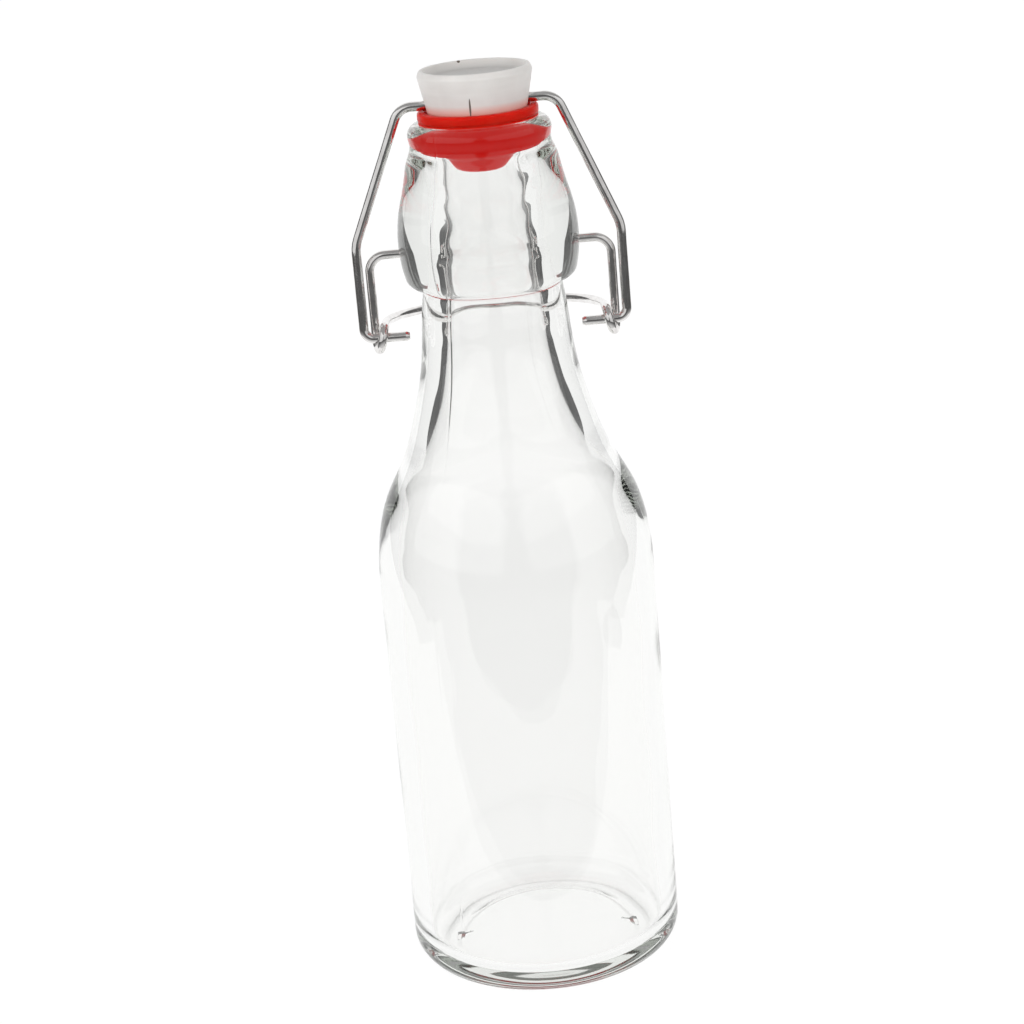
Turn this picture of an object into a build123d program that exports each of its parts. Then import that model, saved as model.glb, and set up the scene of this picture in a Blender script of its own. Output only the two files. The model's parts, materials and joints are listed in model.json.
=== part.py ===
from build123d import *
import os
from math import cos, radians, sin, sqrt, tan

# Swing top bottle of 250 ml, shut and latched. Millimetres, +Z up.
# Origin: centre of the base, on the surface that the bottle stands on.
# +X runs along the pivots of the two wires. +Y points to the side where the lever's handle lies.

# ---- Glass: outside, as radius and height --------------------------------------------------
body_radius = 31.0
heel_radius = 5.8
standing_ring_inner_radius = 21.5
push_up_height = 2.8
body_top_z = 88.0
shoulder_points = [(30.3, 101.0), (28.1, 110.0), (23.1, 120.0), (19.5, 131.0), (17.2, 140.5),
                   (16.1, 150.0)]
neck_radius = 15.2
neck_top_z = 157.8
underside_z = 159.0
neck_fillet_radius = 1.2
head_edge_radius = 2.4
head_edge_end_angle = -15.0
head_points = [(19.6, 166.5), (18.95, 175.0), (17.2, 182.0), (15.95, 187.0)]
waist_radius = 15.25
waist_z = 189.0
lip_radius = 15.5
lip_round_radius = 2.5
glass_top_z = 194.0

# ---- Glass: inside -------------------------------------------------------------------------
mouth_radius = 12.5
mouth_round_radius = 0.9
seat_bottom_z = 187.6
bore_radius = 8.3
bore_bottom_z = 163.0
cavity_neck_points = [(9.9, 156.0), (10.9, 147.0), (14.2, 130.0)]
cavity_shoulder_points = [(18.1, 122.0), (23.3, 113.0), (26.0, 100.0)]
cavity_radius = 26.6
cavity_heel_radius = 5.5
base_thickness = 3.8

# ---- Pivots of the wires, all along X ------------------------------------------------------
lever_pivot = (0.0, 166.3)      # y, z: the dimples in the glass head
eye_centre = (-2.5, 148.5)      # y, z: the lever's eyes, in which the bail hangs
stopper_pivot = (0.0, 197.7)    # y, z: the bail's crossbar through the stopper

# ---- Lever wire ----------------------------------------------------------------------------
lever_wire_radius = 1.0
dimple_clearance = 0.07
dimple_floor_x = 16.4
dimple_mouth_radius = 1.9
dimple_mouth_depth = 1.0
dimple_mouth_overrun = 0.3      # past the widest part of the head, so that the flare cuts through
lever_tip_x = 16.7
lever_leg_x = 26.3
lever_corner_radius = 3.6
eye_mean_radius = 2.5
eye_arcs = 8                    # arcs in the eye's turn
handle_strand_x = 24.1
handle_slope = 6.6
handle_straight = 5.0
handle_depth = 27.4

# ---- Bail wire -----------------------------------------------------------------------------
bail_wire_radius = 1.05
bail_corner_x = 16.8
bail_corner_radius = 4.0
bail_elbow_x = 28.7
bail_elbow_z = 169.0
bail_elbow_radius = 8.0
bail_hook_radius = 2.2
bail_tip_x = 18.8
wire_end_chamfer = 0.3

# ---- Stopper -------------------------------------------------------------------------------
stopper_foot_radius = 10.6
stopper_foot_z = 195.6
stopper_foot_round = 0.6
stopper_rim_radius = 12.35
stopper_rim_z = 203.9
stopper_top_z = 205.1
stopper_rim_width = 1.3
stopper_dish_z = 202.9
stopper_hole_clearance = 0.07
stem_radius = 4.0
bead_radius = 5.0
bead_top_z = 185.1
bead_bottom_z = 183.7
bead_round = 0.55

# ---- Gasket --------------------------------------------------------------------------------
gasket_radius = 13.0
gasket_bottom_gap = 0.3         # between the flange and the glass top
gasket_seat_gap = 0.45          # between the cone and the glass seat
gasket_rim_z = 196.5
gasket_rim_inner_radius = 11.1
gasket_edge_round = 0.7
gasket_plug_z = 183.4
gasket_plug_radius = 7.0
gasket_plug_round = 1.8
fit_gap = 0.05                  # between the stopper and the gasket


def rounded_path(points, radii):
    """Straight lines through points, with an arc of the given radius at each inner point."""
    corners = [Vector(*p) for p in points]
    edges = []
    last_end = corners[0]
    for before, corner, after, radius in zip(corners, corners[1:], corners[2:], radii):
        towards_before = (before - corner).normalized()
        towards_after = (after - corner).normalized()
        half_angle = radians(towards_before.get_angle(towards_after)) / 2
        reach = radius / tan(half_angle)
        arc_start = corner + towards_before * reach
        arc_end = corner + towards_after * reach
        towards_centre = (towards_before + towards_after).normalized()
        arc_middle = corner + towards_centre * (radius / sin(half_angle) - radius)
        edges.append(Line(last_end, arc_start))
        edges.append(ThreePointArc(arc_start, arc_middle, arc_end))
        last_end = arc_end
    edges.append(Line(last_end, corners[-1]))
    return edges


def lathe(edges):
    """A solid of revolution about Z, from an outline of edges in (radius, height)."""
    outline = Plane.YZ * make_face(Wire(edges))
    return revolve(outline, axis=Axis.Z)


def on_circle(centre, radius, angle):
    """The (radius, height) point at an angle in degrees on a circle in the outline's plane."""
    return (centre[0] + radius * cos(radians(angle)), centre[1] + radius * sin(radians(angle)))


def dome_arc(top_z, edge):
    """An arc from a level point on the axis down to an edge point, which turns into a sphere."""
    return TangentArc((0, top_z), edge, tangent=(1, 0))


def along_x(radius, x_start, x_end, pivot):
    """A cylinder along X between two x positions, centred on a (y, z) pivot."""
    plane = Plane(origin=(x_start, pivot[0], pivot[1]), z_dir=(1, 0, 0))
    return extrude(plane * Circle(radius), amount=x_end - x_start)


def wire_solid(edges, wire_radius):
    """A round wire swept along edges, chamfered at its first end."""
    path = Wire(edges)
    start = Plane(origin=path @ 0, z_dir=path % 0)
    solid = sweep(start * Circle(wire_radius), path=path)
    end_face = solid.faces().sort_by_distance(path @ 0)[0]
    return chamfer(end_face.edges(), wire_end_chamfer)


def both_sides(half):
    """A half on the +X side joined to its mirror image."""
    return half + mirror(half, about=Plane.YZ)


# ---- Glass bottle --------------------------------------------------------------------------
def glass_outside():
    """The outline from the middle of the base up to the top of the lip."""
    ring_outer_radius = body_radius - heel_radius
    heel_centre = (ring_outer_radius, heel_radius)
    push_up = dome_arc(push_up_height, (standing_ring_inner_radius, 0))
    standing_ring = Line((standing_ring_inner_radius, 0), (ring_outer_radius, 0))
    heel = ThreePointArc(
        (ring_outer_radius, 0), on_circle(heel_centre, heel_radius, -45), (body_radius, heel_radius)
    )
    side = Line((body_radius, heel_radius), (body_radius, body_top_z))
    shoulder = Spline(
        (body_radius, body_top_z),
        *shoulder_points,
        (neck_radius, neck_top_z),
        tangents=((0, 1), (-0.15, 1)),
    )

    fillet_centre = (neck_radius + neck_fillet_radius, neck_top_z)
    neck_fillet = ThreePointArc(
        (neck_radius, neck_top_z),
        on_circle(fillet_centre, neck_fillet_radius, 135),
        (neck_radius + neck_fillet_radius, underside_z),
    )
    edge_centre = (neck_radius + neck_fillet_radius, underside_z + head_edge_radius)
    edge_end = on_circle(edge_centre, head_edge_radius, head_edge_end_angle)
    head_edge = ThreePointArc(
        (edge_centre[0], underside_z), on_circle(edge_centre, head_edge_radius, -50), edge_end
    )
    edge_tangent = (-sin(radians(head_edge_end_angle)), cos(radians(head_edge_end_angle)))
    head = Spline(
        edge_end, *head_points, (waist_radius, waist_z), tangents=(edge_tangent, (-0.15, 1))
    )

    lip_centre = (lip_radius - lip_round_radius, glass_top_z - lip_round_radius)
    lip_side = Spline(
        (waist_radius, waist_z), (lip_radius, lip_centre[1]), tangents=((-0.15, 1), (0, 1))
    )
    lip_round = ThreePointArc(
        (lip_radius, lip_centre[1]),
        on_circle(lip_centre, lip_round_radius, 45),
        (lip_centre[0], glass_top_z),
    )
    return [push_up, standing_ring, heel, side, shoulder, neck_fillet, head_edge, head,
            lip_side, lip_round]


def glass_inside():
    """The outline from the top of the lip down to the middle of the cavity's floor."""
    seat = rounded_path(
        [
            (lip_radius - lip_round_radius, glass_top_z),
            (mouth_radius, glass_top_z),
            (bore_radius, seat_bottom_z),
            (bore_radius, bore_bottom_z),
        ],
        [mouth_round_radius / 2, 3.0],
    )
    neck_and_shoulder = Spline(
        (bore_radius, bore_bottom_z),
        *cavity_neck_points,
        *cavity_shoulder_points,
        (cavity_radius, body_top_z),
        tangents=((0, -1), (0, -1)),
    )
    heel_centre = (cavity_radius - cavity_heel_radius, base_thickness + cavity_heel_radius)
    cavity_side = Line((cavity_radius, body_top_z), (cavity_radius, heel_centre[1]))
    heel = ThreePointArc(
        (cavity_radius, heel_centre[1]),
        on_circle(heel_centre, cavity_heel_radius, -45),
        (heel_centre[0], base_thickness),
    )
    floor = dome_arc(base_thickness + push_up_height, (heel_centre[0], base_thickness))
    return [*seat, neck_and_shoulder, cavity_side, heel, floor]


def glass_bottle():
    axis = Line((0, base_thickness + push_up_height), (0, push_up_height))
    glass = lathe([*glass_outside(), *glass_inside(), axis])
    return glass - both_sides(dimple())


def dimple():
    """The blind hole on the +X side in which the lever's tip turns, with a flared mouth."""
    mouth_x = head_points[0][0] + dimple_mouth_overrun
    hole = along_x(lever_wire_radius + dimple_clearance, dimple_floor_x, mouth_x, lever_pivot)
    mouth_plane = Plane(origin=(mouth_x - dimple_mouth_depth, *lever_pivot), z_dir=(1, 0, 0))
    flare = mouth_plane * Cone(
        lever_wire_radius,
        dimple_mouth_radius,
        dimple_mouth_depth,
        align=(Align.CENTER, Align.CENTER, Align.MIN),
    )
    return hole + flare


# ---- Stopper and gasket --------------------------------------------------------------------
def stopper():
    dish_radius = stopper_rim_radius - stopper_rim_width
    outline = rounded_path(
        [
            (0, bead_bottom_z),
            (bead_radius, bead_bottom_z),
            (bead_radius, bead_top_z),
            (stem_radius, bead_top_z),
            (stem_radius, stopper_foot_z),
            (stopper_foot_radius, stopper_foot_z),
            (stopper_rim_radius, stopper_rim_z),
            (stopper_rim_radius - 0.5, stopper_top_z),
            (dish_radius, stopper_top_z),
            (dish_radius - 0.9, stopper_dish_z + 0.5),
            (0, stopper_dish_z),
        ],
        [bead_round, bead_round, 0.1, 0.4, stopper_foot_round, 0.9, 0.5, 0.35, 1.2],
    )
    axis = Line((0, stopper_dish_z), (0, bead_bottom_z))
    cap = lathe([*outline, axis])
    hole_radius = bail_wire_radius + stopper_hole_clearance
    hole_end = stopper_rim_radius + 1
    return cap - along_x(hole_radius, -hole_end, hole_end, stopper_pivot)


def gasket():
    flange_bottom_z = glass_top_z + gasket_bottom_gap
    seat_slope = (mouth_radius - bore_radius) / (glass_top_z - seat_bottom_z)
    seat_offset = gasket_seat_gap * sqrt(1 + seat_slope**2)
    cone_top_radius = mouth_radius - seat_offset + seat_slope * gasket_bottom_gap
    plug_side_radius = bore_radius - seat_offset
    hole_radius = stem_radius + fit_gap
    hole_middle_z = (stopper_foot_z + bead_top_z) / 2
    pocket_radius = bead_radius + fit_gap
    outline = rounded_path(
        [
            (hole_radius, hole_middle_z),
            (hole_radius, stopper_foot_z - fit_gap),
            (gasket_rim_inner_radius, stopper_foot_z - fit_gap),
            (gasket_rim_inner_radius + 0.3, gasket_rim_z),
            (gasket_radius, gasket_rim_z),
            (gasket_radius, flange_bottom_z),
            (cone_top_radius, flange_bottom_z),
            (plug_side_radius, seat_bottom_z),
            (gasket_plug_radius, gasket_plug_z),
            (pocket_radius, gasket_plug_z),
            (pocket_radius, bead_top_z + fit_gap),
            (hole_radius, bead_top_z + fit_gap),
            (hole_radius, hole_middle_z),
        ],
        [0.5, 0.3, 0.4, gasket_edge_round, gasket_edge_round, 0.3, 3.0, gasket_plug_round, 0.3, 0.3,
         0.1],
    )
    return lathe(outline)


# ---- Wires ---------------------------------------------------------------------------------
def lever_eye():
    """The one turn of the eye: down the back, round the front and over the top to the handle."""
    turn = 270.0 + handle_slope
    arcs = []
    start = (lever_leg_x, eye_centre[0] + eye_mean_radius, eye_centre[1])
    direction = (0, 0, -1)
    for step in range(eye_arcs):
        share = (step + 1) / eye_arcs
        sideways = share * share * (3 - 2 * share)
        angle = radians(-turn * share)
        end = (
            lever_leg_x + (handle_strand_x - lever_leg_x) * sideways,
            eye_centre[0] + eye_mean_radius * cos(angle),
            eye_centre[1] + eye_mean_radius * sin(angle),
        )
        arc = TangentArc(start, end, tangent=direction)
        arcs.append(arc)
        start = end
        direction = arc % 1
    return arcs


def lever_wire():
    leg_y = eye_centre[0] + eye_mean_radius
    leg = rounded_path(
        [
            (lever_tip_x, *lever_pivot),
            (lever_leg_x, *lever_pivot),
            (lever_leg_x, leg_y, eye_centre[1]),
        ],
        [lever_corner_radius],
    )
    eye = lever_eye()
    handle_start = eye[-1] @ 1
    handle_plane = Plane(
        origin=(0, handle_start.Y, handle_start.Z),
        x_dir=(1, 0, 0),
        z_dir=(0, sin(radians(handle_slope)), cos(radians(handle_slope))),
    )
    straight = handle_plane * Line((handle_strand_x, 0), (handle_strand_x, handle_straight))
    bow = handle_plane * EllipticalCenterArc(
        (0, handle_straight), handle_strand_x, handle_depth, start_angle=0, arc_size=90
    )
    return both_sides(wire_solid([*leg, *eye, straight, bow], lever_wire_radius))


def bail_wire():
    rise = stopper_pivot[1] - eye_centre[1]
    elbow_share = (bail_elbow_z - eye_centre[1]) / rise
    elbow_y = eye_centre[0] + elbow_share * (stopper_pivot[0] - eye_centre[0])
    path = rounded_path(
        [
            (bail_tip_x, *eye_centre),
            (bail_elbow_x, *eye_centre),
            (bail_elbow_x, elbow_y, bail_elbow_z),
            (bail_corner_x, *stopper_pivot),
            (0, *stopper_pivot),
        ],
        [bail_hook_radius, bail_elbow_radius, bail_corner_radius],
    )
    return both_sides(wire_solid(path, bail_wire_radius))


nodes = {
    "glass_bottle": glass_bottle,
    "stopper": stopper,
    "gasket": gasket,
    "bail_wire": bail_wire,
    "lever_wire": lever_wire,
}
os.makedirs("parts", exist_ok=True)
for name, build in nodes.items():
    export_step(build(), f"parts/{name}.step")
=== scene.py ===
import json
import math

import bpy
import numpy as np
from mathutils import Matrix, Vector

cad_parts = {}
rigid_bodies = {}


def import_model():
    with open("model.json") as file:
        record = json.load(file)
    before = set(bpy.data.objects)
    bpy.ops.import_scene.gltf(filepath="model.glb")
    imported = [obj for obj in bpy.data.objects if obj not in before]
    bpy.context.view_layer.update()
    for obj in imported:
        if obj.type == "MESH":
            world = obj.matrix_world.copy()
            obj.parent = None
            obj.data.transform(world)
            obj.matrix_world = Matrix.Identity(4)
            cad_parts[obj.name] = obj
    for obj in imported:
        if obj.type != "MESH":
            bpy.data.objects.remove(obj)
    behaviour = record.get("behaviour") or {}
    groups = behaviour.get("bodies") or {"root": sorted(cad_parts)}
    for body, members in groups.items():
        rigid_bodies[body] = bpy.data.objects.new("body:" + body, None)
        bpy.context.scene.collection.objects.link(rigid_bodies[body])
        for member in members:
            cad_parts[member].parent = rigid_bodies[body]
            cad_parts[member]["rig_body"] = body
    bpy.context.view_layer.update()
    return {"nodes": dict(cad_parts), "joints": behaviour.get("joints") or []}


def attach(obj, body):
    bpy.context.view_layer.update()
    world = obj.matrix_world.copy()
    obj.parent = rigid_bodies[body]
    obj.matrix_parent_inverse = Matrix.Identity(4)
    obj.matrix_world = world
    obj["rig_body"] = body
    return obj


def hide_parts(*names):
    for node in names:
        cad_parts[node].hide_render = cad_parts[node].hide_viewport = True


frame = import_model()

# Lengths are in metres, written as millimetres times MM. The origin is the centre of the base,
# +Z is up, +X runs along the wires' pivots and +Y is the side where the lever's handle lies.
MM = 0.001
FULL_TURN = 2 * math.pi
SHARP_ANGLE = math.radians(35)      # edges that turn by more than this look sharp
joints = {joint["name"]: joint for joint in frame["joints"]}
lever_pivot = np.array(joints["lever_swing"]["pos_m"])
eye_centre = np.array(joints["bail_swing"]["pos_m"])
stopper_pivot = np.array(joints["stopper_tilt"]["pos_m"])


# ---- Curves --------------------------------------------------------------------------------
def rounded_path(corners, radii, arc_step=math.radians(6)):
    """Straight lines through corners, with an arc of the given radius at each inner corner."""
    corners = [np.asarray(c, float) for c in corners]
    path = [corners[0]]
    for before, corner, after, radius in zip(corners, corners[1:], corners[2:], radii):
        to_before = (before - corner) / np.linalg.norm(before - corner)
        to_after = (after - corner) / np.linalg.norm(after - corner)
        half = math.acos(np.clip(to_before @ to_after, -1, 1)) / 2
        inwards = (to_before + to_after) / np.linalg.norm(to_before + to_after)
        centre = corner + inwards * radius / math.sin(half)
        reach = radius / math.tan(half)
        first = corner + to_before * reach - centre
        turn = math.pi - 2 * half
        for share in np.linspace(0, 1, max(3, round(turn / arc_step))):
            across = first * math.cos(turn * share) - to_before * radius * math.sin(turn * share)
            path.append(centre + across)
    path.append(corners[-1])
    return np.array(path)


def evenly(path, spacing):
    """A polyline's points, with more added on stretches that are longer than the spacing."""
    made = [path[:1]]
    for start, end in zip(path, path[1:]):
        count = max(1, math.ceil(np.linalg.norm(end - start) / spacing))
        t = np.linspace(0, 1, count + 1)[1:, None]
        made.append(start * (1 - t) + end * t)
    return np.concatenate(made)


def seam_outline(node):
    """The (radius, height) outline of a turned CAD node, in order, read along its +Y seam."""
    tolerance = 1e-7
    grid = 1e-6
    mesh = frame["nodes"][node].data
    places = {}
    for vertex in mesh.vertices:
        x, y, z = vertex.co
        if abs(x) < tolerance and y > -tolerance:
            places[vertex.index] = (round(y / grid), round(z / grid))
    neighbours = {}
    for edge in mesh.edges:
        start, end = [places.get(index) for index in edge.vertices]
        if start and end and start != end:
            neighbours.setdefault(start, set()).add(end)
            neighbours.setdefault(end, set()).add(start)
    free_ends = [place for place, near in neighbours.items() if len(near) == 1]
    chain = [min(free_ends or neighbours, key=lambda place: (place[1], place[0]))]
    left = neighbours.keys() - {chain[0]}
    while neighbours[chain[-1]] & left:
        chain.append(max(neighbours[chain[-1]] & left))
        left = left - {chain[-1]}
    if not free_ends:
        chain.append(chain[0])
    return np.array(chain) * grid


def smooth_stretch(points, spacing):
    """Points at about the spacing on a smooth curve through a stretch without corners."""
    if len(points) == 2:
        return evenly(points, spacing)
    steps = np.diff(points, axis=0)
    sizes = np.linalg.norm(steps, axis=1)[:, None]
    ways = steps / sizes
    before, after = sizes[:-1], sizes[1:]
    # An arc that meets a long straight line leaves it along the line, so there the longer step
    # alone gives the tangent. Elsewhere the shorter step weighs more.
    straight = 4
    inner = (ways[:-1] * after + ways[1:] * before) / (before + after)
    inner = np.where(before > straight * after, ways[:-1], inner)
    inner = np.where(after > straight * before, ways[1:], inner)
    tangents = np.concatenate([[2 * ways[0] - inner[0]], inner, [2 * ways[-1] - inner[-1]]])
    tangents /= np.linalg.norm(tangents, axis=1)[:, None]
    made = [points[:1]]
    for start, end, leave, arrive, size in zip(points, points[1:], tangents, tangents[1:], sizes):
        t = np.linspace(0, 1, max(1, math.ceil(size[0] / spacing)) + 1)[1:, None]
        made.append(
            (2 * t**3 - 3 * t**2 + 1) * start
            + (t**3 - 2 * t**2 + t) * leave * size
            + (3 * t**2 - 2 * t**3) * end
            + (t**3 - t**2) * arrive * size
        )
    return np.concatenate(made)


def smooth_outline(points, spacing, corner_angle=math.radians(25)):
    """An outline with points at about the spacing, smooth apart from its true corners."""
    ways = np.diff(points, axis=0)
    ways /= np.linalg.norm(ways, axis=1)[:, None]
    turns = np.arccos(np.clip((ways[:-1] * ways[1:]).sum(1), -1, 1))
    breaks = [0, *(np.flatnonzero(turns > corner_angle) + 1), len(points) - 1]
    made = [points[:1]]
    for first, last in zip(breaks, breaks[1:]):
        made.append(smooth_stretch(points[first:last + 1], spacing)[1:])
    return np.concatenate(made)


def smooth_step(value, start, end):
    """Rises smoothly from 0 at start to 1 at end."""
    t = np.clip((value - start) / (end - start), 0, 1)
    return t * t * (3 - 2 * t)


# ---- Meshes --------------------------------------------------------------------------------
def new_mesh(name, vertices, faces):
    """A mesh that is shaded smooth."""
    mesh = bpy.data.meshes.new(name)
    mesh.from_pydata(vertices.tolist(), [], faces)
    mesh.polygons.foreach_set("use_smooth", [True] * len(mesh.polygons))
    return mesh


def new_piece(name, mesh, node, material):
    """An object that stands for a CAD node, rides on its body and takes its material slot."""
    mesh.materials.clear()
    mesh.materials.append(material)
    piece = bpy.data.objects.new(name, mesh)
    bpy.context.scene.collection.objects.link(piece)
    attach(piece, frame["nodes"][node]["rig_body"])
    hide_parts(node)
    return piece


def ring_faces(rows, columns, closed=False):
    """Quads between rows of vertices, each row a closed ring of columns vertices."""
    strips = rows if closed else rows - 1
    row, column = np.meshgrid(np.arange(strips), np.arange(columns), indexing="ij")
    above = (row + 1) % rows
    beside = (column + 1) % columns
    corners = [row * columns + column, row * columns + beside,
               above * columns + beside, above * columns + column]
    return np.stack(corners, -1).reshape(-1, 4).tolist()


def turned(outline, angles, shape=None):
    """Vertices and faces of a (radius, height) outline turned about Z.

    Ends on the axis are closed with a fan. Shape changes the radii, from radius, angle, height.
    """
    axis_reach = 1e-5
    starts_on_axis = outline[0, 0] < axis_reach
    ends_on_axis = outline[-1, 0] < axis_reach
    rows = outline[int(starts_on_axis):len(outline) - int(ends_on_axis)]
    closed = not starts_on_axis and np.allclose(rows[0], rows[-1], atol=axis_reach)
    if closed:
        rows = rows[:-1]
    radius = np.repeat(rows[:, :1], len(angles), axis=1)
    height = np.repeat(rows[:, 1:], len(angles), axis=1)
    angle = np.repeat(angles[None], len(rows), axis=0)
    if shape:
        radius = shape(radius, angle, height)
    vertices = np.stack([radius * np.cos(angle), radius * np.sin(angle), height], -1).reshape(-1, 3)
    columns = len(angles)
    faces = ring_faces(len(rows), columns, closed)
    if starts_on_axis:
        vertices = np.concatenate([vertices, [[0, 0, outline[0, 1]]]])
        centre = len(vertices) - 1
        faces += [[centre, (i + 1) % columns, i] for i in range(columns)]
    if ends_on_axis:
        vertices = np.concatenate([vertices, [[0, 0, outline[-1, 1]]]])
        centre = len(vertices) - 1
        last = (len(rows) - 1) * columns
        faces += [[centre, last + i, last + (i + 1) % columns] for i in range(columns)]
    return vertices, faces


def even_angles(count):
    return np.arange(count) * FULL_TURN / count


def angles_with_lines(count, lines, steps, spacing):
    """Even angles all round, with closer ones on both sides of each line's angle."""
    near = np.arange(-steps, steps + 1) * spacing
    angles = [even_angles(count)] + [line + near for line in lines]
    return np.unique(np.round(np.concatenate(angles) % FULL_TURN, 6))


def ridge(radius, angle, line, width):
    """The profile, from 0 to 1, of a fine ridge that runs up a turned surface at a line's angle."""
    apart = (angle - line + math.pi) % FULL_TURN - math.pi
    return np.exp(-((apart * radius / width) ** 2))


def cut_away(mesh, cutter_mesh):
    """A mesh with a closed cutter taken away from it."""
    collection = bpy.context.scene.collection
    block = bpy.data.objects.new("block", mesh)
    cutter = bpy.data.objects.new("cutter", cutter_mesh)
    collection.objects.link(block)
    collection.objects.link(cutter)
    modifier = block.modifiers.new("cut", "BOOLEAN")
    modifier.operation = "DIFFERENCE"
    modifier.solver = "EXACT"
    modifier.object = cutter
    depsgraph = bpy.context.evaluated_depsgraph_get()
    made = bpy.data.meshes.new_from_object(block.evaluated_get(depsgraph))
    bpy.data.objects.remove(block)
    bpy.data.objects.remove(cutter)
    made.set_sharp_from_angle(angle=SHARP_ANGLE)
    return made


def bar_along_x(outline, sides):
    """A closed mesh turned about the X axis, from an outline of (radius, x)."""
    vertices, faces = turned(np.array(outline), even_angles(sides))
    return vertices[:, [2, 0, 1]], faces


def wire_mesh(name, path, radius, sides=32):
    """A round wire along a path, with bevelled ends.

    Its attribute "drawn" holds, in wire radii, how far along and where around the wire a point is.
    """
    bevel = 0.3 * MM
    tangents = np.gradient(path, axis=0)
    tangents /= np.linalg.norm(tangents, axis=1)[:, None]
    lengths = np.concatenate([[0], np.cumsum(np.linalg.norm(np.diff(path, axis=0), axis=1))])
    angles = even_angles(sides)
    normal = np.cross(tangents[0], [0.0, 1.0, 0.3])
    rings = []
    drawn = []
    for point, tangent, length in zip(path, tangents, lengths):
        normal = normal - tangent * (normal @ tangent)
        normal /= np.linalg.norm(normal)
        across = np.cross(tangent, normal)
        from_end = min(length, lengths[-1] - length)
        size = radius - bevel * max(0, 1 - from_end / bevel)
        spokes = np.outer(np.cos(angles), normal) + np.outer(np.sin(angles), across)
        rings.append(point + size * spokes)
        along_and_around = [np.full(sides, length / radius), np.cos(angles), np.sin(angles)]
        drawn.append(np.stack(along_and_around, -1))
    faces = ring_faces(len(path), sides)
    last = (len(path) - 1) * sides
    faces.append(list(range(sides))[::-1])
    faces.append(list(range(last, last + sides)))
    mesh = new_mesh(name, np.concatenate(rings), faces)
    mesh.set_sharp_from_angle(angle=SHARP_ANGLE)
    attribute = mesh.attributes.new("drawn", "FLOAT_VECTOR", "POINT")
    attribute.data.foreach_set("vector", np.concatenate(drawn).ravel())
    return mesh


# ---- Materials -----------------------------------------------------------------------------
class Nodes:
    """A material's node tree, with short calls for the nodes that the materials here share."""

    def __init__(self, name):
        self.material = bpy.data.materials.new(name)
        self.material.use_nodes = True
        self.tree = self.material.node_tree
        self.shader = self.only("BSDF_PRINCIPLED")

    def only(self, kind):
        """The tree's one node of a kind."""
        return next(node for node in self.tree.nodes if node.type == kind)

    def add(self, kind, **settings):
        node = self.tree.nodes.new(kind)
        for key, value in settings.items():
            setattr(node, key, value)
        return node

    def link(self, output, target):
        self.tree.links.new(output, target)

    def set(self, **inputs):
        """Sets the shader's inputs; a name's underscores stand for its spaces."""
        for key, value in inputs.items():
            self.shader.inputs[key.replace("_", " ")].default_value = value

    def noise(self, vector, scale, detail=3.0):
        noise = self.add("ShaderNodeTexNoise")
        noise.inputs["Scale"].default_value = scale
        noise.inputs["Detail"].default_value = detail
        self.link(vector, noise.inputs["Vector"])
        return noise.outputs["Fac"]

    def scaled(self, vector, factors):
        product = self.add("ShaderNodeVectorMath", operation="MULTIPLY")
        product.inputs[1].default_value = factors
        self.link(vector, product.inputs[0])
        return product.outputs["Vector"]

    def spread(self, value, low, high, start=0.3, end=0.7):
        """A value's range from start to end, mapped to low to high."""
        spread = self.add("ShaderNodeMapRange")
        for name, number in zip(("From Min", "From Max", "To Min", "To Max"), (start, end, low, high)):
            spread.inputs[name].default_value = number
        self.link(value, spread.inputs["Value"])
        return spread.outputs["Result"]

    def mixed(self, share, first, second):
        """A colour between two others; the first may be another node's output."""
        mix = self.add("ShaderNodeMix", data_type="RGBA")
        if isinstance(first, tuple):
            mix.inputs["A"].default_value = (*first, 1)
        else:
            self.link(first, mix.inputs["A"])
        mix.inputs["B"].default_value = (*second, 1)
        self.link(share, mix.inputs["Factor"])
        return mix.outputs["Result"]

    def bump(self, height, distance, strength=1.0):
        """Raises the shader's surface by a height from 0 to 1 times a distance."""
        bump = self.add("ShaderNodeBump")
        bump.inputs["Distance"].default_value = distance
        bump.inputs["Strength"].default_value = strength
        self.link(height, bump.inputs["Height"])
        self.link(bump.outputs["Normal"], self.shader.inputs["Normal"])

    def place(self):
        """Where a point lies in the bottle's frame, in metres."""
        return self.add("ShaderNodeTexCoord").outputs["Object"]

    def height(self, place):
        """A place's Z."""
        split = self.add("ShaderNodeSeparateXYZ")
        self.link(place, split.inputs["Vector"])
        return split.outputs["Z"]

    def spot(self, place, centre, flatness, reach):
        """1 within reach of a point and 0 further off; a flatness below 1 stretches the spot."""
        apart = self.add("ShaderNodeVectorMath", operation="DISTANCE")
        apart.inputs[1].default_value = [c * f for c, f in zip(centre, flatness)]
        self.link(self.scaled(place, flatness), apart.inputs[0])
        soft_edge = 0.15 * reach
        return self.spread(apart.outputs["Value"], 1, 0, reach - soft_edge, reach)


def glass_material():
    """Clear soda glass: greyish green where it is thick, with a slight orange peel."""
    nodes = Nodes("clear_glass")
    nodes.set(Base_Color=(0.99, 0.99, 0.985, 1), Transmission_Weight=1.0, IOR=1.52)
    place = nodes.place()
    nodes.link(nodes.spread(nodes.noise(place, 35), 0.0, 0.012), nodes.shader.inputs["Roughness"])
    nodes.bump(nodes.noise(place, 90, 1.0), 0.02 * MM)
    absorb = nodes.add("ShaderNodeVolumeAbsorption")
    absorb.inputs["Color"].default_value = (0.5, 0.54, 0.48, 1)
    absorb.inputs["Density"].default_value = 8
    nodes.link(absorb.outputs["Volume"], nodes.only("OUTPUT_MATERIAL").inputs["Volume"])
    return nodes.material


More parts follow.
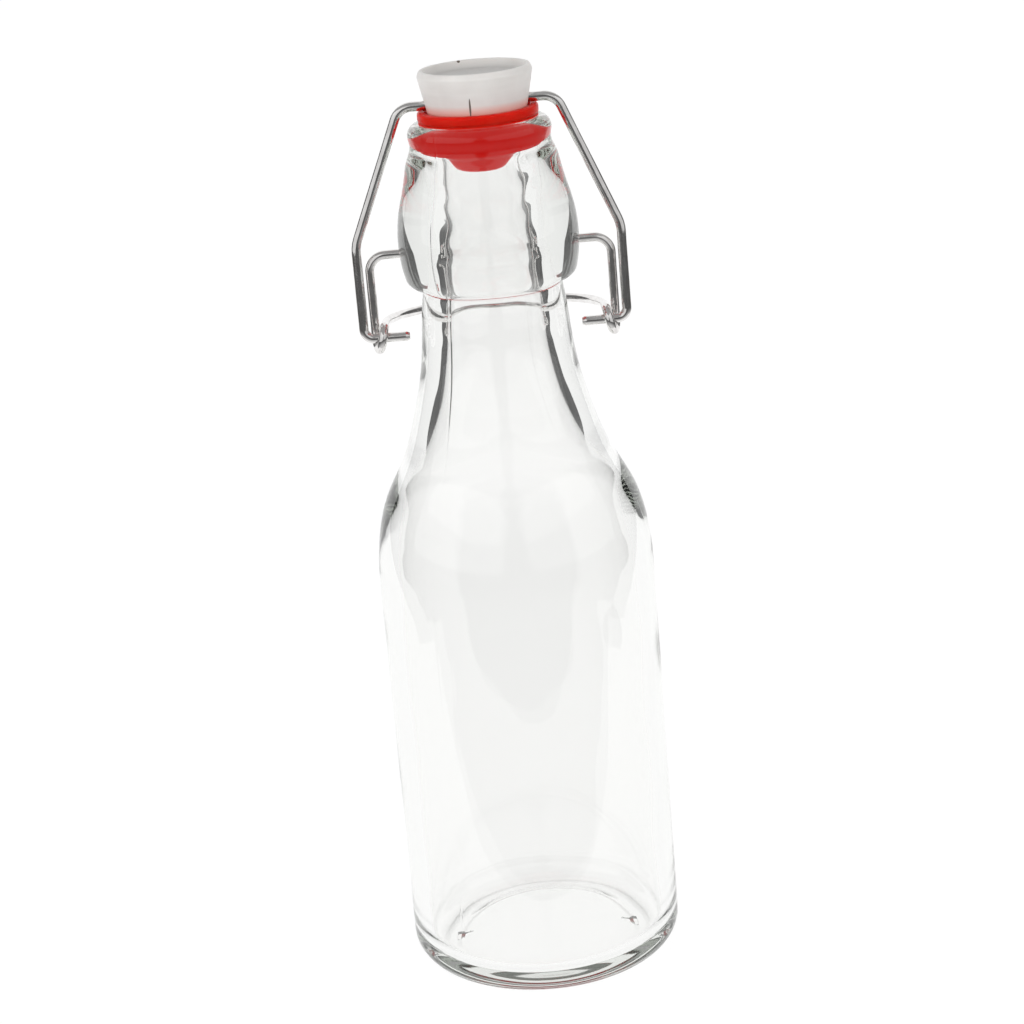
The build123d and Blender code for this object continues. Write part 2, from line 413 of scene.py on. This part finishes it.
def plastic_material():
    """Off-white moulded plastic: cloudy, with faint flow lines, a speck and a nicked mould line.

    Its dish is painted greyer as painted shade, since it faces up where less light falls, and its foot
    is painted red as painted red light from the gasket.
    """
    pale, dull = (0.80, 0.78, 0.755), (0.72, 0.695, 0.67)
    flow_pale, dish_painted_shade = (0.82, 0.80, 0.78), (0.57, 0.555, 0.54)
    painted_red_light, speck_brown, nick_brown = (0.85, 0.2, 0.1), (0.12, 0.09, 0.07), (0.16, 0.13, 0.11)
    foot_bottom, foot_top = 196.3 * MM, 198.4 * MM
    round_spot = (1, 1, 1)
    upright_spot = (1, 0.1, 0.1)
    nodes = Nodes("stopper_plastic")
    place = nodes.place()
    cloud = nodes.spread(nodes.noise(place, 160), 0, 1)
    flow = nodes.spread(nodes.noise(nodes.scaled(place, (60, 60, 700)), 1), 0, 0.5)
    # The dish's grey is painted shade: the dish faces up, where less light falls than on the front.
    dish_shade_mask = nodes.spot(place, (0, 0, 204.3 * MM), round_spot, 11.3 * MM)
    # The foot's red is painted light: a painted reflection and glow of the red gasket, strongest at
    # the bottom.
    foot_red_light_mask = nodes.spread(nodes.height(place), 0.6, 0, foot_bottom, foot_top)
    speck = nodes.spot(place, (-3.2 * MM, 10.4 * MM, 205.0 * MM), round_spot, 0.4 * MM)
    nick = nodes.spot(place, (-1.5 * MM, -11.1 * MM, 198.1 * MM), upright_spot, 0.22 * MM)
    colour = nodes.mixed(cloud, pale, dull)
    colour = nodes.mixed(flow, colour, flow_pale)
    colour = nodes.mixed(dish_shade_mask, colour, dish_painted_shade)
    colour = nodes.mixed(foot_red_light_mask, colour, painted_red_light)
    colour = nodes.mixed(speck, colour, speck_brown)
    colour = nodes.mixed(nick, colour, nick_brown)
    nodes.link(colour, nodes.shader.inputs["Base Color"])
    nodes.link(nodes.spread(nodes.noise(place, 900), 0.36, 0.5), nodes.shader.inputs["Roughness"])
    nodes.bump(nodes.noise(place, 1400), 0.03 * MM, 0.6)
    nodes.set(Subsurface_Weight=0.35, Subsurface_Radius=(1.0, 0.9, 0.85), IOR=1.49)
    nodes.set(Subsurface_Scale=1.5 * MM)
    return nodes.material


def rubber_material():
    """Red moulded rubber with a fine grain, cloudy outside.

    Where it hangs in the glass it is painted a brighter red and given a faint red glow: painted light
    for the light that passes through it from behind.
    """
    # The brighter red and the glow colour here are painted light for the rubber inside the glass.
    red, dark_red, painted_lit_red = (0.64, 0.016, 0.006), (0.55, 0.010, 0.004), (0.80, 0.016, 0.008)
    black, painted_glow_red = (0, 0, 0), (0.26, 0.001, 0.001)
    glass_top = 194.0 * MM
    fade = 0.4 * MM
    nodes = Nodes("gasket_rubber")
    place = nodes.place()
    cloud = nodes.spread(nodes.noise(place, 220), 0, 1)
    # Below the glass's top the rubber gets painted light: a brighter red and a faint red glow.
    painted_light_mask = nodes.spread(nodes.height(place), 1, 0, glass_top, glass_top + fade)
    colour = nodes.mixed(painted_light_mask, nodes.mixed(cloud, red, dark_red), painted_lit_red)
    nodes.link(colour, nodes.shader.inputs["Base Color"])
    # The glow is painted light, as if light from behind came through the rubber; the rubber is no
    # lamp.
    painted_glow = nodes.mixed(painted_light_mask, black, painted_glow_red)
    nodes.link(painted_glow, nodes.shader.inputs["Emission Color"])
    nodes.set(Emission_Strength=1.0)
    nodes.link(nodes.spread(nodes.noise(place, 1200), 0.3, 0.46), nodes.shader.inputs["Roughness"])
    nodes.bump(nodes.noise(place, 2200), 0.02 * MM, 0.7)
    nodes.set(Subsurface_Weight=1.0, Subsurface_Radius=(1.0, 0.08, 0.05), Specular_IOR_Level=0.12)
    nodes.set(Subsurface_Scale=3.5 * MM)
    return nodes.material


def steel_material():
    """Bright drawn wire: streaks run along it, with duller patches."""
    bright, dull = (0.92, 0.91, 0.90), (0.72, 0.70, 0.69)
    nodes = Nodes("drawn_steel")
    drawn = nodes.add("ShaderNodeAttribute", attribute_name="drawn").outputs["Vector"]
    streaks = nodes.noise(nodes.scaled(drawn, (0.06, 5, 5)), 1.0, 4.0)
    patches = nodes.noise(nodes.scaled(drawn, (0.35, 1, 1)), 1.0)
    colour = nodes.mixed(nodes.spread(patches, 0, 1), bright, dull)
    nodes.link(colour, nodes.shader.inputs["Base Color"])
    nodes.link(nodes.spread(streaks, 0.03, 0.12), nodes.shader.inputs["Roughness"])
    nodes.bump(streaks, 0.03 * MM, 0.8)
    nodes.set(Metallic=1.0)
    return nodes.material


# ---- Glass bottle --------------------------------------------------------------------------
SEAM_AZIMUTH = math.radians(38)     # of the mould's seam, from -Y towards -X
SEAM_ANGLES = [math.radians(270) - SEAM_AZIMUTH, math.radians(90) - SEAM_AZIMUTH]
DRILL_SIDES = 40                    # of the round cutters for the dimples and the bail's hole


def waves(seed, count, rounds, wavelength):
    """A gentle unevenness of size about 1, as a function of angle and height.

    It adds up waves that fit the lowest to the highest number of rounds into a full turn.
    """
    random = np.random.default_rng(seed)
    turns = random.integers(rounds[0], rounds[1] + 1, count)
    climbs = FULL_TURN / random.uniform(*wavelength, count) * random.choice([-1, 1], count)
    phases = random.uniform(0, FULL_TURN, count)

    def unevenness(angle, height):
        total = 0
        for turn, climb, phase in zip(turns, climbs, phases):
            total = total + np.sin(turn * angle + climb * height + phase)
        return total / math.sqrt(count / 2)

    return unevenness


def glass_mesh():
    """The glass: wavy and with a small ledge inside, with mould seams and the dimples outside."""
    outline = smooth_outline(seam_outline("glass_bottle"), spacing=0.8 * MM)
    top = int(np.argmax(outline[:, 1]))
    top_z = outline[top, 1]
    inner_waves = waves(seed=3, count=9, rounds=(1, 5), wavelength=(14 * MM, 60 * MM))
    outer_waves = waves(seed=5, count=7, rounds=(2, 6), wavelength=(25 * MM, 80 * MM))
    head_ripples = waves(seed=11, count=9, rounds=(3, 9), wavelength=(5 * MM, 14 * MM))
    inner_wave, extra_in_head, head_ripple = 0.04 * MM, 0.06 * MM, 0.04 * MM
    outer_wave = 0.022 * MM
    seam_width, seam_height, extra_up_high = 0.22 * MM, 0.02 * MM, 0.06 * MM
    # Below the end of the bore the inside widens by a small ledge, which fades out further down.
    bore_end, ledge_slope, ledge = 166.2 * MM, 1.2 * MM, 0.45 * MM

    def off_axis(radius):
        return smooth_step(radius, 2 * MM, 12 * MM)

    def inner_change(radius, angle, height):
        off_seat = 1 - smooth_step(height, top_z - 12 * MM, top_z - 6 * MM)
        in_head = smooth_step(height, 150 * MM, 165 * MM) * off_seat
        size = (inner_wave + extra_in_head * in_head) * off_axis(radius) * off_seat
        below_bore = 1 - smooth_step(height, bore_end - ledge_slope, bore_end)
        above_neck = smooth_step(height, 152 * MM, 162 * MM)
        return (
            size * inner_waves(angle, height)
            + head_ripple * in_head * head_ripples(angle, height)
            + ledge * below_bore * above_neck
        )

    def outer_change(radius, angle, height):
        off_table = smooth_step(height, 1 * MM, 6 * MM)
        off_heel = smooth_step(height, 10 * MM, 25 * MM)
        up_high = smooth_step(height, 115 * MM, 135 * MM)
        seams = sum(ridge(radius, angle, seam, seam_width) for seam in SEAM_ANGLES)
        return (
            outer_wave * outer_waves(angle, height) * off_axis(radius) * off_table
            + (seam_height + extra_up_high * up_high) * seams * off_heel
        )

    def uneven(radius, angle, height):
        is_outside = (np.arange(len(radius)) < top)[:, None]
        outer = outer_change(radius, angle, height)
        inner = inner_change(radius, angle, height)
        return radius + np.where(is_outside, outer, inner)

    angles = angles_with_lines(180, SEAM_ANGLES, steps=10, spacing=0.003)
    vertices, faces = turned(outline, angles, uneven)
    return cut_away(new_mesh("bottle_glass", vertices, faces), dimple_cutter())


def dimple_cutter():
    """Both blind holes for the lever's tips, with flared mouths, as one closed mesh."""
    hole, flare = 1.07 * MM, 1.9 * MM
    floor_x, flare_x, mouth_x, outside_x = 16.4 * MM, 18.9 * MM, 19.9 * MM, 21 * MM
    corners = [(0, floor_x), (hole, floor_x), (hole, flare_x)]
    corners += [(flare, mouth_x), (flare, outside_x), (0, outside_x)]
    corner_radii = [0.35 * MM, 0.5 * MM, 0.1 * MM, 0.1 * MM]
    vertices, faces = bar_along_x(rounded_path(corners, corner_radii), DRILL_SIDES)
    mirrored_faces = [[index + len(vertices) for index in face[::-1]] for face in faces]
    both = np.concatenate([vertices, vertices * [-1, 1, 1]])
    return new_mesh("dimples", both, faces + mirrored_faces)


# ---- Stopper and gasket --------------------------------------------------------------------
def stopper_mesh():
    """The plastic stopper, with its hole for the bail and a fine mould line on two sides."""
    outline = smooth_outline(seam_outline("stopper"), spacing=0.3 * MM)
    front_line = math.radians(270 - 8)
    mould_lines = [front_line, front_line - math.pi]
    line_bottom, line_top = 196.0 * MM, 200.5 * MM
    line_width, line_height = 0.14 * MM, 0.12 * MM

    def with_lines(radius, angle, height):
        lines = sum(ridge(radius, angle, line, line_width) for line in mould_lines)
        low_down = 1 - smooth_step(height, line_bottom, line_top)
        outside = smooth_step(radius, 9 * MM, 10.4 * MM)
        return radius + line_height * lines * low_down * outside

    angles = angles_with_lines(144, mould_lines, steps=6, spacing=0.005)
    vertices, faces = turned(outline, angles, with_lines)
    hole, reach = 1.12 * MM, 14 * MM
    bar_outline = [(0, -reach), (hole, -reach), (hole, reach), (0, reach)]
    bar_vertices, bar_faces = bar_along_x(bar_outline, DRILL_SIDES)
    bar = new_mesh("hole", bar_vertices + stopper_pivot, bar_faces)
    return cut_away(new_mesh("stopper_moulded", vertices, faces), bar)


def gasket_mesh():
    """The rubber gasket as the latched lever presses it: its cone and flange lie on the glass."""
    squeeze = 0.03 * MM
    # The radii beyond which the gasket's surface is its outside, its cone and its flange.
    outside_radius, cone_radius, flange_radius = 6 * MM, 7.2 * MM, 12.5 * MM
    cone_edge = 12.9 * MM
    seat_bottom, grip_start, grip_full = 180 * MM, 185.5 * MM, 187.5 * MM
    glass = seam_outline("glass_bottle")
    top = int(np.argmax(glass[:, 1]))
    glass_top = glass[top, 1]
    inside = glass[top:][::-1]
    seat = inside[inside[:, 1] > seat_bottom]
    radius, height = smooth_outline(seam_outline("gasket"), spacing=0.15 * MM).T
    flange_bottom = height[radius > flange_radius].min()
    is_plug_end = height < height.min() + 1 * MM
    is_outside = (radius > outside_radius) | is_plug_end
    is_under = is_outside & (height < flange_bottom + 0.05 * MM)
    pressed_height = height - is_under * (flange_bottom - glass_top + squeeze)
    wall = np.minimum(np.interp(pressed_height, seat[:, 1], seat[:, 0]) + squeeze, cone_edge)
    on_cone = is_under & (radius > cone_radius) & (radius < cone_edge)
    grip = smooth_step(height, grip_start, grip_full) * on_cone
    pressed = np.stack([radius + (wall - radius) * grip, pressed_height], -1)
    vertices, faces = turned(pressed, even_angles(144))
    return new_mesh("gasket_pressed", vertices, faces)


# ---- Wires ---------------------------------------------------------------------------------
LEVER_RADIUS = 1.0 * MM
BAIL_RADIUS = 1.05 * MM
WIRE_SPACING = 0.6 * MM             # between the rings of a straight stretch


def mirrored(half):
    """A path from the -X side to the +X side, from its +X half that ends on the plane x = 0."""
    return np.concatenate([half[:-1] * [-1, 1, 1], half[::-1]])


def lever_path():
    """The lever wire's centre line: a tip and a leg, a coiled eye, and half of the bow, mirrored."""
    tip_x, leg_x, strand_x = 16.7 * MM, 26.3 * MM, 24.1 * MM
    leg_bend, eye_radius = 3.6 * MM, 2.5 * MM
    slope = math.radians(6.6)
    straight = 5.0 * MM
    depth = 27.4 * MM
    leg_y = eye_centre[1] + eye_radius
    leg_corners = [
        (tip_x, *lever_pivot[1:]),
        (leg_x, *lever_pivot[1:]),
        (leg_x, leg_y, eye_centre[2]),
    ]
    leg = evenly(rounded_path(leg_corners, [leg_bend]), WIRE_SPACING)
    share = np.linspace(0, 1, 48)
    sideways = smooth_step(share, 0, 1)
    angle = -(1.5 * math.pi + slope) * share
    eye = np.stack(
        [
            leg_x + (strand_x - leg_x) * sideways,
            eye_centre[1] + eye_radius * np.cos(angle),
            eye_centre[2] + eye_radius * np.sin(angle),
        ],
        -1,
    )
    bow_angle = np.linspace(0, math.pi / 2, 60)
    bow_reach = straight + depth * np.sin(bow_angle)
    bow = np.stack(
        [
            strand_x * np.cos(bow_angle),
            eye[-1, 1] + bow_reach * math.cos(slope),
            eye[-1, 2] - bow_reach * math.sin(slope),
        ],
        -1,
    )
    return mirrored(np.concatenate([leg[:-1], eye, bow]))


def bail_path():
    """The bail wire's centre line: a hooked tip, an elbow and half of the crossbar, mirrored."""
    tip_x, elbow_x, crossbar_x = 18.8 * MM, 28.7 * MM, 16.8 * MM
    hook_bend, elbow_bend, crossbar_bend = 2.2 * MM, 8.0 * MM, 4.0 * MM
    elbow_z = 169.0 * MM
    rise = (elbow_z - eye_centre[2]) / (stopper_pivot[2] - eye_centre[2])
    elbow_y = eye_centre[1] + rise * (stopper_pivot[1] - eye_centre[1])
    corners = [
        (tip_x, *eye_centre[1:]),
        (elbow_x, *eye_centre[1:]),
        (elbow_x, elbow_y, elbow_z),
        (crossbar_x, *stopper_pivot[1:]),
        (0, *stopper_pivot[1:]),
    ]
    half = rounded_path(corners, [hook_bend, elbow_bend, crossbar_bend])
    return mirrored(evenly(half, WIRE_SPACING))


# ---- Pieces --------------------------------------------------------------------------------
lever_mesh = wire_mesh("lever_wire_drawn", lever_path(), LEVER_RADIUS)
bail_mesh = wire_mesh("bail_wire_drawn", bail_path(), BAIL_RADIUS)
new_piece("bottle_glass", glass_mesh(), "glass_bottle", glass_material())
new_piece("stopper_moulded", stopper_mesh(), "stopper", plastic_material())
new_piece("gasket_pressed", gasket_mesh(), "gasket", rubber_material())
steel = steel_material()
new_piece("lever_wire_drawn", lever_mesh, "lever_wire", steel)
new_piece("bail_wire_drawn", bail_mesh, "bail_wire", steel)


# ---- Studio --------------------------------------------------------------------------------
def make_camera():
    """The camera stands in front of the bottle, looks down at it and leans a little to one side."""
    distance = 544.3 * MM
    height = 282.7 * MM
    pitch = 0.3148                  # radians, downwards
    lean = -0.0857                  # radians
    camera = bpy.data.objects.new("camera", bpy.data.cameras.new("camera"))
    camera.data.lens = 89.9         # Blender takes these two in millimetres
    camera.data.sensor_width = 36
    camera.data.clip_start = 10 * MM
    bpy.context.scene.collection.objects.link(camera)
    forward = Vector((0, math.cos(pitch), -math.sin(pitch)))
    level_right = Vector((1, 0, 0))
    level_up = level_right.cross(forward)
    right = level_right * math.cos(lean) + level_up * math.sin(lean)
    up = level_up * math.cos(lean) - level_right * math.sin(lean)
    turn = Matrix((right, up, -forward)).transposed()
    camera.matrix_world = Matrix.Translation((0, -distance, height)) @ turn.to_4x4()
    bpy.context.scene.camera = camera
    return camera


def make_turntable(camera):
    """An empty that turns about Z with the camera, so that the studio always faces it."""
    turntable = bpy.data.objects.new("turntable", None)
    bpy.context.scene.collection.objects.link(turntable)
    track = turntable.constraints.new("LOCKED_TRACK")
    track.target = camera
    track.track_axis = "TRACK_NEGATIVE_Y"
    track.lock_axis = "LOCK_Z"
    return turntable


def paper_material():
    """White paper, lit evenly from within, so that shadows on it stay faint."""
    nodes = Nodes("white_paper")
    nodes.set(Base_Color=(0.06, 0.06, 0.06, 1), Roughness=0.9, Specular_IOR_Level=0.1)
    nodes.set(Emission_Color=(1, 1, 1, 1), Emission_Strength=0.97)
    return nodes.material


def make_sweep(turntable):
    """A white paper floor that widens and curves up into a backdrop, and hangs down in front."""
    near_half_width, widening = 0.25, 0.75
    front, back, bend, top, drop = -0.08, 1.4, 0.4, 3.0, 0.6
    floor_z = -0.2 * MM
    bend_angles = np.linspace(0, math.pi / 2, 24)[1:]
    bend_y = back - bend
    profile = [(front, -drop), (front, 0.0), (0.0, 0.0), (bend_y, 0.0)]
    profile += [(bend_y + bend * math.sin(a), bend - bend * math.cos(a)) for a in bend_angles]
    profile.append((back, top))
    vertices = [
        (side * (near_half_width + widening * max(y, 0)), y, z + floor_z)
        for y, z in profile
        for side in (-1, 1)
    ]
    faces = [(2 * i, 2 * i + 1, 2 * i + 3, 2 * i + 2) for i in range(len(profile) - 1)]
    mesh = new_mesh("sweep", np.array(vertices), faces)
    mesh.materials.append(paper_material())
    sweep = bpy.data.objects.new("sweep", mesh)
    bpy.context.scene.collection.objects.link(sweep)
    sweep.parent = turntable


HEAD_HEIGHT = 170 * MM
WIDE_BOX, SMALL_BOX = (2.2, 1.1), (0.8, 0.8)


def make_softbox(name, turntable, place, size, power, seen=True):
    """A lamp that faces the bottle's head. Unless it is seen, glass and steel don't mirror it."""
    light = bpy.data.lights.new(name, "AREA")
    light.shape = "RECTANGLE"
    light.size, light.size_y = size
    light.energy = power
    softbox = bpy.data.objects.new(name, light)
    bpy.context.scene.collection.objects.link(softbox)
    softbox.parent = turntable
    softbox.visible_glossy = seen
    softbox.visible_transmission = seen
    softbox.location = place
    towards_head = Vector((0, 0, HEAD_HEIGHT)) - Vector(place)
    softbox.rotation_euler = towards_head.to_track_quat("-Z", "Y").to_euler()


def make_world():
    """A dim room: dark walls between a pale floor and a grey ceiling."""
    floor, wall, ceiling = 0.65, 0.10, 0.35
    world = bpy.data.worlds.new("dim_room")
    world.use_nodes = True
    tree = world.node_tree
    background = next(node for node in tree.nodes if node.type == "BACKGROUND")
    direction = tree.nodes.new("ShaderNodeTexCoord").outputs["Generated"]
    split = tree.nodes.new("ShaderNodeSeparateXYZ")
    upwards = tree.nodes.new("ShaderNodeMapRange")      # 0 is straight down, 1 is straight up
    upwards.inputs["From Min"].default_value = -1
    brightness = tree.nodes.new("ShaderNodeValToRGB")
    stops = brightness.color_ramp.elements
    stops[0].position, stops[0].color = 0.15, (floor, floor, floor, 1)
    stops[1].position, stops[1].color = 0.85, (ceiling, ceiling, ceiling, 1)
    for place in (0.4, 0.6):
        stops.new(place).color = (wall, wall, wall, 1)
    tree.links.new(direction, split.inputs["Vector"])
    tree.links.new(split.outputs["Z"], upwards.inputs["Value"])
    tree.links.new(upwards.outputs["Result"], brightness.inputs["Fac"])
    tree.links.new(brightness.outputs["Color"], background.inputs["Color"])
    bpy.context.scene.world = world


camera = make_camera()
turntable = make_turntable(camera)
make_sweep(turntable)
make_world()
make_softbox("left_box", turntable, (-0.9, -0.7, 0.55), WIDE_BOX, power=5)
make_softbox("right_box", turntable, (0.9, -0.7, 0.55), WIDE_BOX, power=4)
make_softbox("left_fill", turntable, (-0.9, -0.7, 0.45), SMALL_BOX, power=6.3, seen=False)
make_softbox("right_fill", turntable, (0.9, -0.7, 0.45), SMALL_BOX, power=5.4, seen=False)

# Light that enters the thick glass is mirrored in it many times before it gets out.
bounces = 40
scene = bpy.context.scene
scene.view_settings.view_transform = "Standard"
scene.cycles.max_bounces = bounces
scene.cycles.glossy_bounces = bounces
scene.cycles.transmission_bounces = bounces
scene.cycles.transparent_max_bounces = 16
